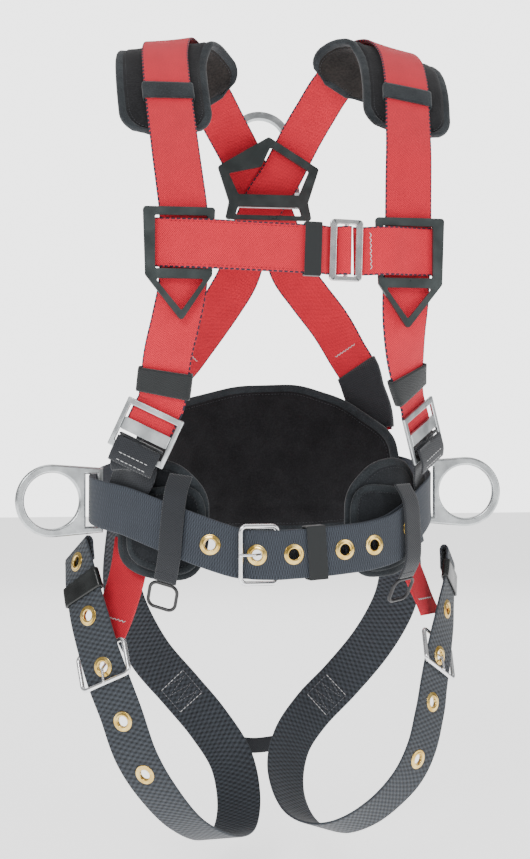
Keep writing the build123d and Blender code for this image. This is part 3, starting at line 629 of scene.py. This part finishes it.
def stitched_box(rows, place, length, half, lift):
    """A sewn join: two white rows across the strap, grey sides and a grey zigzag between."""
    x = length / 2
    for end in (-x, x):
        strap_line("white", rows, place, [(end, -half), (end, half)], lift, dash=3.4)
    for edge in (-half, half):
        strap_line("grey", rows, place, [(-x, edge), (x, edge)], lift)
    turns = [(-x + length * i / 6, (half - 2.5) * (1 if i % 2 else -1)) for i in range(7)]
    strap_line("grey", rows, place, turns, lift, radius=0.36)


def build_threads():
    """Every stitch as a six-sided spindle, in one mesh for each colour."""
    finishes = {"white": WHITE_THREAD, "grey": GREY_THREAD, "dark": DARK_THREAD, "red": RED_THREAD}
    for colour, material in finishes.items():
        verts, faces = [], []
        for (a, fa), (m, fm), (b, fb), radius in threads[colour]:
            along = (b - a).normalized()
            base = len(verts)
            for point, face, share in ((a, fa, 0.35), (m, fm, 1.0), (b, fb, 0.35)):
                side = face.cross(along).normalized()
                for k in range(6):
                    angle = math.pi / 3 * k
                    verts.append(point + side * math.cos(angle) * radius * share
                                 + face * math.sin(angle) * radius * share)
            for ring in (0, 1):
                for k in range(6):
                    n = base + ring * 6
                    faces.append((n + k, n + (k + 1) % 6, n + 6 + (k + 1) % 6, n + 6 + k))
            faces.append(tuple(base + k for k in range(5, -1, -1)))
            faces.append(tuple(base + 12 + k for k in range(6)))
        if verts:
            piece(f"{colour}_stitches", verts, faces, material)


# ---------------------------------------------------------------- pads
def rounded_outline(points, radius):
    """A closed outline with round corners, as evenly spaced points."""
    smooth = []
    count = len(points)
    for i, corner in enumerate(points):
        here = Vector(corner)
        before, after = Vector(points[i - 1]), Vector(points[(i + 1) % count])
        a = here + (before - here).normalized() * min(radius, (before - here).length / 2)
        b = here + (after - here).normalized() * min(radius, (after - here).length / 2)
        for k in range(7):
            t = k / 6
            smooth.append(a * (1 - t) ** 2 + here * 2 * t * (1 - t) + b * t**2)
    smooth.append(smooth[0])
    run = [0.0]
    for a, b in zip(smooth, smooth[1:]):
        run.append(run[-1] + (b - a).length)
    total = max(8, round(run[-1] / PAD_STEP))
    even, k = [], 0
    for i in range(total):
        target = run[-1] * i / total
        while run[k + 1] < target:
            k += 1
        share = (target - run[k]) / max(run[k + 1] - run[k], 1e-9)
        even.append(smooth[k] + (smooth[k + 1] - smooth[k]) * share)
    return even


def puffed(made, pinned, cap):
    """Cloth simulation: the cover swells from its bound edges and is then fixed."""
    group = made.vertex_groups.new(name="bound")
    group.add(pinned, 1.0, "REPLACE")
    before = [v.co.copy() for v in made.data.vertices]
    swell = made.modifiers.new("Cloth", "CLOTH")
    swell.settings.vertex_group_mass = "bound"
    swell.settings.use_pressure = True
    swell.settings.uniform_pressure_force = PAD_PRESSURE
    swell.settings.quality = 5
    swell.settings.effector_weights.gravity = 0
    swell.collision_settings.use_collision = False
    scene = bpy.context.scene
    for number in range(1, PUFF_FRAMES + 1):
        scene.frame_set(number)
    shape = made.evaluated_get(bpy.context.evaluated_depsgraph_get())
    after = [v.co.copy() for v in shape.data.vertices]
    made.modifiers.remove(swell)
    scene.frame_set(1)
    for vertex, old, new in zip(made.data.vertices, before, after):
        move = new - old
        if move.length > cap * MM:
            move = move.normalized() * cap * MM
        vertex.co = old + move


def crown(depth, soft):
    """How full a pad is at a depth in from its edge, from 0.3 at the binding to 1."""
    share = min(max(depth / soft, 0), 1)
    return 0.3 + 0.7 * math.sqrt(1 - (1 - share) ** 2)


def groove(distance):
    """How much of a pad's fullness is left at a distance from a sewn line."""
    return 1 - 0.45 * math.exp(-((distance / GROOVE_WIDTH) ** 2))


def wall_place(centre, side, mid, x, z):
    """A point on an upright tube's wall and the way out of the wall."""
    dx = x - centre[0]
    dy = side * math.sqrt(mid**2 - dx**2)
    return Vector((x, centre[1] + dy, z)), Vector((dx, dy, 0)) / mid


def edge_depth(point, outline):
    """Distance from a flat point to a closed outline."""
    best = 1e9
    for a, b in zip(outline, outline[1:] + outline[:1]):
        run = b - a
        t = min(max((point - a).dot(run) / max(run.length_squared, 1e-9), 0), 1)
        best = min(best, (point - (a + run * t)).length)
    return best


def seam_sink(point, seams):
    """What the sewn lines across a pad leave of its fullness at a flat point."""
    left = 1.0
    for start, end in seams:
        a, b = Vector(start), Vector(end)
        t = min(max((point - a).dot(b - a) / (b - a).length_squared, 0), 1)
        left *= groove((point - a.lerp(b, t)).length)
    return left


def wall_pad(name, centre, side, mid, half, outline, seams=(), cap=2.0, tape=5.0, **how):
    """A stuffed pad on a tube's wall, with its binding and the stitches that hold it."""
    edge = rounded_outline(outline, PAD_CORNER)
    middle = sum(edge, Vector((0, 0))) / len(edge)
    rings, count = 16, len(edge)
    flat = [middle.lerp(p, i / rings) for i in range(1, rings + 1) for p in edge]
    verts, faces = [], []
    for out in (1, -1):
        for p in [middle] + flat:
            depth = edge_depth(p, edge)
            full = half * crown(depth, PAD_SOFT) * seam_sink(p, seams)
            point, away = wall_place(centre, side, mid, p.x, p.y)
            verts.append(point + away * full * out)
    size = 1 + len(flat)
    for sheet, flip in ((0, side < 0), (size, side > 0)):
        for k in range(count):
            tri = (sheet, sheet + 1 + k, sheet + 1 + (k + 1) % count)
            faces.append(tri[::-1] if flip else tri)
            for ring in range(rings - 1):
                a = sheet + 1 + ring * count
                quad = (a + k, a + count + k, a + count + (k + 1) % count, a + (k + 1) % count)
                faces.append(quad[::-1] if flip else quad)
    rim = 1 + (rings - 1) * count
    for k in range(count):
        n = (k + 1) % count
        quad = (rim + k, rim + n, size + rim + n, size + rim + k)
        faces.append(quad if side < 0 else quad[::-1])
    made = piece(name, verts, faces, PANEL_CLOTH, **how)
    made.data.materials.append(PAD_CLOTH)
    sheet_faces = (len(faces) - count) // 2
    for number in range(sheet_faces, 2 * sheet_faces):
        made.data.polygons[number].material_index = 1
    pinned = list(range(rim - count, size)) + list(range(size + rim - count, 2 * size))
    puffed(made, pinned, cap)
    made.modifiers.new("Soft", "SUBSURF").render_levels = 1
    path = []
    for k in range(count):
        point, away = wall_place(centre, side, mid, edge[k].x, edge[k].y)
        ahead, _ = wall_place(centre, side, mid, edge[(k + 1) % count].x, edge[(k + 1) % count].y)
        along = (ahead - point).normalized()
        path.append((point, along.cross(away), away, along))
    binding(f"{name}_binding", path, tape, half * 0.34 + 1.5)
    inward = -(tape + 0.2) * flow(edge, side)
    for out in (1, -1):
        lift = out * (half * 0.62 + 1.2)
        row = [(p + sideways * inward + away * lift, away * out) for p, sideways, away, _ in path]
        stitch_run("dark", row + row[:1], dash=2.2, gap=1.3, radius=0.36)
    return made


def flow(edge, side):
    """1 if a path's sideways direction points out of its outline, else -1."""
    area = sum(a.x * b.y - b.x * a.y for a, b in zip(edge, edge[1:] + edge[:1]))
    return 1 if area * side < 0 else -1


def binding(name, path, reach, half):
    """Folded tape round a closed edge: a flat oval swept along (point, sideways, out, along)."""
    sides = 14
    verts, faces = [], []
    for number, (point, sideways, out, _) in enumerate(path):
        for k in range(sides):
            angle = 2 * math.pi * k / sides
            wide, high = (
                math.copysign(abs(v) ** 0.7, v) for v in (math.cos(angle), math.sin(angle))
            )
            pucker = 1 + 0.05 * math.sin(number * 1.9)
            verts.append(point + sideways * wide * reach + out * high * half * pucker)
    rings = len(path)
    for i in range(rings):
        for k in range(sides):
            a, b = i * sides, ((i + 1) % rings) * sides
            faces.append((a + k, a + (k + 1) % sides, b + (k + 1) % sides, b + k))
    piece(name, verts, faces, BINDING)


def shoulder_pad(side, route):
    """A long pad under the strap: round ends, bound edges, knitted lining below."""
    first, last = SHOULDER_PAD_SPAN[side]
    places = even_places(route, first, last, PAD_STEP)
    total = places[-1][1]
    columns = 16
    half_wide, half_thick = SHOULDER_PAD_HALF
    outward = SHOULDER_PAD_OUTWARD if side == "left" else -SHOULDER_PAD_OUTWARD
    top, bottom, rim = [], [], {-1: [], 1: []}
    for place, run in places:
        point, along, across, face = station(route, place)
        point = point - face * SHOULDER_PAD_DROP + Vector((outward, 0, 0))
        end = min(run, total - run)
        wide = half_wide * (0.45 + 0.55 * math.sqrt(1 - (1 - min(end / 26, 1)) ** 2))
        for j in range(columns + 1):
            v = wide * (2 * j / columns - 1)
            depth = min(wide - abs(v), end)
            full = half_thick * crown(depth, 15.0) * groove(abs(v) - SHOULDER_SEAM)
            sag = -1.5 * (v / half_wide) ** 2
            centre = point + across * v + face * sag
            top.append(centre + face * full)
            bottom.append(centre - face * full)
        for way in (-1, 1):
            rim[way].append((point + across * wide * way - face * 1.5 * (wide / half_wide) ** 2,
                             across * way, face, along))
    size = columns + 1
    rows = len(places)
    faces, under = [], len(top)
    for i in range(rows - 1):
        for j in range(columns):
            a = i * size + j
            faces.append((a, a + size, a + size + 1, a + 1))
    lower = len(faces)
    for a, b, c, d in faces[:lower]:
        faces.append((under + d, under + c, under + b, under + a))
    border = list(range(size)) + [i * size + columns for i in range(1, rows)]
    border += [(rows - 1) * size + j for j in range(columns - 1, -1, -1)]
    border += [i * size for i in range(rows - 2, 0, -1)]
    for a, b in zip(border, border[1:] + border[:1]):
        faces.append((a, b, under + b, under + a))
    made = piece(f"shoulder_cushion_{side}", top + bottom, faces, PAD_CLOTH,
                 stands_for=[f"shoulder_pad_{side}"], slot="black_pad")
    made.data.materials.append(LINING)
    for number in range(lower, 2 * lower):
        made.data.polygons[number].material_index = 1
    puffed(made, border + [under + n for n in border], 2.0)
    made.modifiers.new("Soft", "SUBSURF").render_levels = 1
    ends = []
    for index, way in ((-1, 1), (0, -1)):
        a, b = rim[way][index], rim[-way][index]
        span = [a[0].lerp(b[0], t / 8) for t in range(1, 8)]
        ends.append([(p, a[3] * way, a[2], a[1]) for p in span])
    path = rim[1] + ends[0] + rim[-1][::-1] + ends[1]
    binding(f"shoulder_binding_{side}", path, 4.6, 3.6)
    for out in (1, -1):
        row = [(p - sideways * 5.2 + face * out * 4.4, face * out) for p, sideways, face, _ in path]
        stitch_run("dark", row + row[:1], dash=2.2, gap=1.3, radius=0.36)


# ---------------------------------------------------------------- hardware
def eyelet_pieces(name, stands_for, places):
    """Crimped brass eyelets: a rolled barrel with a flange on each side."""
    half = [(4.9, 0.0), (4.9, 1.0), (5.15, 1.75), (5.8, 2.25), (6.6, 2.2), (7.4, 1.8),
            (8.3, 1.6), (9.1, 1.6), (9.5, 1.35), (9.5, 1.15)]
    profile = half + [(r, -z) for r, z in half[:0:-1]]
    turns, verts, faces = 40, [], []
    for point, along, across, face in places:
        base = len(verts)
        for t in range(turns):
            angle = 2 * math.pi * t / turns
            way = along * math.cos(angle) + across * math.sin(angle)
            verts += [point + way * r + face * z for r, z in profile]
        size = len(profile)
        for t in range(turns):
            a, b = base + t * size, base + (t + 1) % turns * size
            for k in range(size):
                n = (k + 1) % size
                faces.append((a + k, b + k, b + n, a + n))
    piece(name, verts, faces, BRASS, stands_for=stands_for, slot="brass_eyelet")


def dress(names, material, bevel=0.0):
    """Finish CAD pieces that are shown as they are, with their sharp edges eased where a bevel width
    is given.
    """
    for name in names:
        shown = nodes[name]
        if not shown.data.materials:
            shown.data.materials.append(material)
        for number in range(len(shown.data.materials)):
            shown.data.materials[number] = material
        if bevel:
            weld = shown.modifiers.new("Weld", "WELD")
            weld.merge_threshold = 0.00002
            ease = shown.modifiers.new("Ease", "BEVEL")
            ease.width = bevel * MM
            ease.segments = 3
            ease.limit_method = "ANGLE"
            ease.angle_limit = math.radians(40)
            ease.harden_normals = True


def adjuster_axes(side):
    """Middle, way across, way along and way out of a torso adjuster."""
    if side == "right":
        origin, across, out = (-129, -100, 77), (0.9, -0.1, -0.42), (-0.28, -0.95, 0)
    else:
        origin, across, out = (139, -84, 79), (0.72, 0.55, 0.42), (0.68, -0.73, 0)
    across, out = Vector(across).normalized(), Vector(out).normalized()
    across = (across - out * across.dot(out)).normalized()
    return Vector(origin), across, out.cross(across), out


def adjuster_rows(side, rows):
    """Rows laid in the torso adjuster's plane, as rows of a route."""
    origin, _, along, out = adjuster_axes(side)
    return [
        (*(origin + along * u + out * w), *(along * a + out * b)) for u, w, a, b in rows
    ]


def fold_back(name, rows):
    """A strap's end turned over behind itself, so that it shows as a soft loop."""
    end, along, _, face = station(rows, 0)
    back = [
        (*(end - along * up - face * deep), *(face * out - along * rise))
        for up, deep, out, rise in (
            (0.0, 0.0, 1, 0), (3.2, 0.8, 0.7, 0.7), (5.0, 3.6, 0, 1),
            (3.2, 6.2, -0.7, 0.7), (0.0, 7.0, -1, 0), (-8.0, 6.2, -1, 0), (-20.0, 5.4, -1, 0),
        )
    ]
    strip(name, back, LEG_GREY, width=TAIL_WIDTH)


# ---------------------------------------------------------------- the harness, piece by piece
SIDES = ("right", "left")
routes = {side: adjuster_rows(side, STRAP_IN_ADJUSTER) + SHOULDER[side] for side in SIDES}
hip_routes = {side: HIP_STRAP_TAIL[side] + adjuster_rows(side, HIP_STRAP_LOOP) for side in SIDES}


def shoulder(side):
    """A shoulder strap with its pad, the bands round it and the cover at its back end."""
    route = routes[side]
    strip(f"shoulder_webbing_{side}", route, RED, ripple=0.8,
          stands_for=[f"shoulder_strap_{side}"], slot="red_web")
    shoulder_pad(side, route)
    sleeve(f"pad_keeper_{side}", route, PAD_BANDS[side], PAD_BAND_LENGTH, BINDING,
           stands_for=[f"shoulder_pad_band_{side}"], slot="black_elastic")
    sleeve(f"torso_elastic_{side}", route, TORSO_KEEPERS[side], TORSO_KEEPER_LENGTH, ELASTIC,
           gap=TORSO_KEEPER_GAP, stands_for=[f"torso_keeper_{side}"], slot="black_elastic")
    sleeve(f"back_cover_{side}", route, len(route) - BACK_SLEEVE_FROM_END, BACK_SLEEVE_LENGTH,
           BLACK_WEB, stands_for=[f"back_sleeve_{side}"], slot="black_elastic")


def hip(side):
    """The hip strap, the belt tab and the red leg tab, each with its stitches."""
    hip_route = hip_routes[side]
    strip(f"hip_webbing_{side}", hip_route, BLACK_WEB, width=HIP_STRAP_WIDTH,
          stands_for=[f"hip_strap_{side}"], slot="black_web")
    for away in (-3.5, 3.5):
        strap_line("white", hip_route, HIP_STRAP_JOIN, [(away, -15), (away, 15)], -1.2, dash=3.4)
    tab = BELT_TAB[side]
    strip(f"belt_loop_{side}", tab, BLACK_WEB, width=BELT_TAB_WIDTH,
          stands_for=[f"belt_tab_{side}"], slot="black_web")
    strap_line("dark", tab, BELT_TAB_JOIN, [(0, -9), (0, 9)])
    red_tab = RED_TAB[side]
    strip(f"red_tab_webbing_{side}", red_tab, RED, width=RED_TAB_WIDTH,
          stands_for=[f"leg_tab_{side}"], slot="red_web")
    bar_tack("white", red_tab, RED_TAB_JOIN, 0, 14)


def chest():
    """The two chest straps, and the tacks on both faces of the back straps."""
    strip("chest_webbing_long", CHEST_LONG, RED, stands_for=["chest_strap_long"], slot="red_web")
    strip("chest_webbing_short", CHEST_SHORT, RED, stands_for=["chest_strap_short"], slot="red_web")
    for edge in (-19.5, 19.5):
        strap_line("red", CHEST_LONG, 4.5, [(-100, edge), (50, edge)], dash=2.4, gap=1.6)
    bar_tack("white", CHEST_SHORT, CHEST_SHORT_JOIN, 0, 17)
    for lift in (-1.2, 1.2):
        for side in SIDES:
            bar_tack("white", routes[side], BACK_TACKS[side], 0, 13, lift)


def waist():
    """The belt and its crimped eyelets."""
    holes = [station(BELT, place) for place in BELT_EYELETS]
    strip("belt_webbing", BELT, BELT_GREY, holes=[hole[0] for hole in holes], ripple=0.4,
          stands_for=["waist_belt"], slot="grey_web")
    eyelet_pieces("belt_eyelet_rings", ["belt_eyelets"], holes)


def leg_loop(side):
    """A leg strap with its eyelets, turned tail, keeper and sewn join."""
    leg = LEG[side]
    holes = [station(leg, place) for place in LEG_EYELETS[side]]
    strip(f"leg_webbing_{side}", leg, LEG_GREY, holes=[hole[0] for hole in holes], ripple=0.7,
          stands_for=[f"leg_strap_{side}"], slot="grey_web")
    eyelet_pieces(f"leg_eyelet_rings_{side}", [f"leg_eyelets_{side}"], holes)
    fold_back(f"leg_tail_fold_{side}", leg)
    sleeve(f"leg_loop_keeper_{side}", leg, LEG_KEEPERS[side], LEG_KEEPER_LENGTH, GLOSS,
           bulge=0.2, stands_for=[f"leg_keeper_{side}"], slot="black_elastic")
    for lift in (-1.25, 1.25):
        stitched_box(leg, LEG_JOINS[side], 30, 15, lift)


def hip_pads(side):
    """The hip pad and its outer panel, mirrored from one outline each."""
    out = -1 if side == "right" else 1
    for name, node, radius, half, outline, cap, tape in (
        ("hip_cushion", "hip_pad", HIP_PAD_RADIUS, 4.4, HIP_PAD, 1.5, 4.6),
        ("hip_cover", "hip_panel", HIP_PANEL_RADIUS, 1.5, HIP_PANEL, 0.6, 3.6),
    ):
        points = [(MIDDLE_X + out * x, z) for x, z in outline]
        wall_pad(f"{name}_{side}", HIP_CENTRES[side], -1, radius, half, points, cap=cap,
                 tape=tape, stands_for=[f"{node}_{side}"], slot="black_pad")


for side in SIDES:
    shoulder(side)
    hip(side)
chest()
waist()
for side in SIDES:
    leg_loop(side)
strip("sub_pelvic_webbing", SUB_PELVIC, BLACK_WEB, width=LINK_WIDTH,
      stands_for=["sub_pelvic_strap"], slot="black_web")
wall_pad("back_cushion", BACK_PAD_CENTRE, 1, BACK_PAD_RADIUS, 5.6, BACK_PAD, seams=[BACK_SEAM],
         stands_for=["back_pad"], slot="black_pad")
for side in SIDES:
    hip_pads(side)
build_threads()

dress(["dorsal_plate"], PLASTIC, 0.9)
dress(["chest_frame_right", "chest_frame_left"], PLASTIC, 1.1)
dress(["dorsal_d_ring", "torso_adjuster_right", "torso_adjuster_left",
       "torso_adjuster_bar_right", "torso_adjuster_bar_left"], ZINC, 1.0)
dress(["side_d_ring_right", "side_d_ring_left"], ZINC)
dress(["chest_buckle"], CHROME, 0.8)
dress(["chest_buckle_bar", "waist_buckle", "waist_buckle_prong", "leg_buckle_right",
       "leg_buckle_left", "leg_buckle_prong_right", "leg_buckle_prong_left"], CHROME)
dress(["tool_ring_right", "tool_ring_left"], WIRE_BLACK)
dress(["chest_keeper", "belt_keeper"], ELASTIC, 0.8)


# ---------------------------------------------------------------- stage, light, camera
def pale_floor():
    """A plain level square under the harness, with a glow of its own against shadows."""
    shades = Shades("pale_floor", 0.9, Emission_Color=(1, 1, 1, 1), Emission_Strength=1.5)
    shades.shader.inputs["Base Color"].default_value = (0.9, 0.9, 0.9, 1)
    mesh = bpy.data.meshes.new("floor")
    corners = [(x * FLOOR_REACH, y * FLOOR_REACH, FLOOR_Z)
               for x, y in ((-1, -1), (1, -1), (1, 1), (-1, 1))]
    mesh.from_pydata(corners, [], [(0, 1, 2, 3)])
    mesh.materials.append(shades.material)
    floor = bpy.data.objects.new("floor", mesh)
    bpy.context.scene.collection.objects.link(floor)


def soft_light(name, place, size, power):
    """An area light aimed at the harness."""
    lamp = bpy.data.lights.new(name, "AREA")
    lamp.shape = "RECTANGLE"
    lamp.size, lamp.size_y = size
    lamp.energy = power
    made = bpy.data.objects.new(name, lamp)
    made.location = place
    made.rotation_euler = (LIT - Vector(place)).to_track_quat("-Z", "Y").to_euler()
    bpy.context.scene.collection.objects.link(made)


def studio():
    """A white world: gentle as light, bright where it is seen behind the harness."""
    world = bpy.data.worlds.new("studio")
    world.use_nodes = True
    tree = world.node_tree
    shade = tree.nodes["Background"]
    bright = tree.nodes.new("ShaderNodeBackground")
    for background, strength in ((shade, WORLD_AS_LIGHT), (bright, WORLD_AS_SEEN)):
        background.inputs["Color"].default_value = (1, 1, 1, 1)
        background.inputs["Strength"].default_value = strength
    seen = tree.nodes.new("ShaderNodeLightPath")
    either = tree.nodes.new("ShaderNodeMixShader")
    tree.links.new(seen.outputs["Is Camera Ray"], either.inputs[0])
    tree.links.new(shade.outputs[0], either.inputs[1])
    tree.links.new(bright.outputs[0], either.inputs[2])
    tree.links.new(either.outputs[0], tree.nodes["World Output"].inputs["Surface"])
    bpy.context.scene.world = world


def viewpoint():
    """A camera in front, a little to the harness's right, looking level."""
    camera = bpy.data.cameras.new("camera")
    camera.lens = 62.86
    camera.sensor_width = 36.0
    viewer = bpy.data.objects.new("camera", camera)
    viewer.location = (-0.2605, -1.4772, 0.080)
    viewer.rotation_euler = (math.radians(90), 0, math.radians(-10))
    bpy.context.scene.collection.objects.link(viewer)
    bpy.context.scene.camera = viewer


pale_floor()
soft_light("key", (-1.3, -2.0, 1.5), (1.2, 0.9), 38)
soft_light("fill", (1.7, -1.8, 0.6), (1.0, 1.4), 14)
soft_light("back", (0.4, 2.1, 1.2), (2.0, 1.4), 18)
soft_light("top", (0, 0, 2.3), (1.6, 1.6), 14)
studio()
viewpoint()
